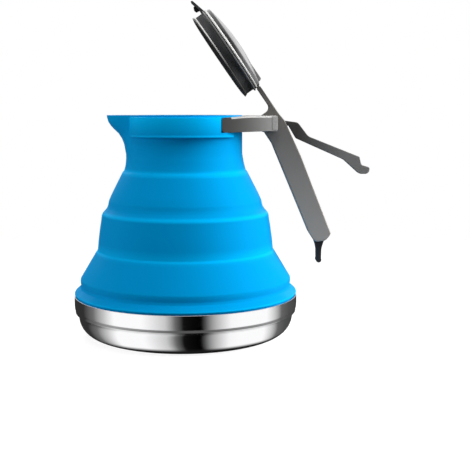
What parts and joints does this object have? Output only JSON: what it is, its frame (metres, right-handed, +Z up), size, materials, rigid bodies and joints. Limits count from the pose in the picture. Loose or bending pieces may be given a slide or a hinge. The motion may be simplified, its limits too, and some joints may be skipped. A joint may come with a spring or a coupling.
{
  "type": "collapsible kettle",
  "caption": "Folding camping kettle: steel pan base, silicone body that telescopes flat, pouring spout, and a hinged bar that swings the lid and latches to a lever.",
  "frame": {"origin": "on the kettle's axis, at the flat underside of the pan", "axes": "+Z up along the kettle's axis, +X towards the handle, -X towards the spout, +Y away from a viewer who sees the handle on the right"},
  "size_m": [0.2243, 0.17, 0.2499],
  "materials": {
    "pan_steel": "mirror-polished stainless steel",
    "inner_steel": "plain stainless steel",
    "body_silicone": "satin azure silicone",
    "handle_plastic": "satin mid-grey nylon",
    "lever_plastic": "satin dark-grey nylon",
    "lid_plastic": "satin dark-grey nylon",
    "seal_rubber": "black silicone",
    "pale_gasket": "pale silicone"
  },
  "bodies": {
    "base": {"base_pan": "pan_steel", "clamp_ring": "inner_steel", "lower_skirt": "body_silicone", "lower_fold_wall": "body_silicone"},
    "middle": {"middle_band": "body_silicone", "upper_fold_wall": "body_silicone"},
    "neck": {"neck_and_spout": "body_silicone", "handle_yoke": "handle_plastic", "carry_lever": "lever_plastic", "lever_screws": "inner_steel", "hinge_pin": "inner_steel"},
    "rocker": {"handle_bar": "handle_plastic", "latch_pin": "inner_steel"},
    "lid": {"lid_plate": "lid_plastic", "tab_bumper": "seal_rubber", "lid_plug": "lid_plastic", "lid_seal": "seal_rubber", "seal_washer": "inner_steel", "lid_screw": "inner_steel", "lid_gasket": "pale_gasket", "lid_cap": "lid_plastic", "lid_hinge_pin": "inner_steel"},
    "latch": {"prop_latch": "lever_plastic"}
  },
  "joints": [
    {"name": "lower_fold", "type": "slide", "parent": "base", "child": "middle", "axis": [0, 0, 1], "range_m": [-0.051, 0], "deforming": ["lower_fold_wall"]},
    {"name": "upper_fold", "type": "slide", "parent": "middle", "child": "neck", "axis": [0, 0, 1], "range_m": [-0.056, 0], "deforming": ["upper_fold_wall"]},
    {"name": "handle_hinge", "type": "hinge", "parent": "neck", "child": "rocker", "pos_m": [0.0618, 0, 0.1584], "axis": [0, 1, 0], "range_deg": [-55.5, 0]},
    {"name": "lid_tilt", "type": "hinge", "parent": "rocker", "child": "lid", "pos_m": [0.05401, 0, 0.18872], "axis": [0, 1, 0], "range_deg": [0, 6]},
    {"name": "latch_hinge", "type": "hinge", "parent": "rocker", "child": "latch", "pos_m": [0.10163, 0, 0.07802], "axis": [0, -1, 0], "range_deg": [-102.6, 25]}
  ]
}
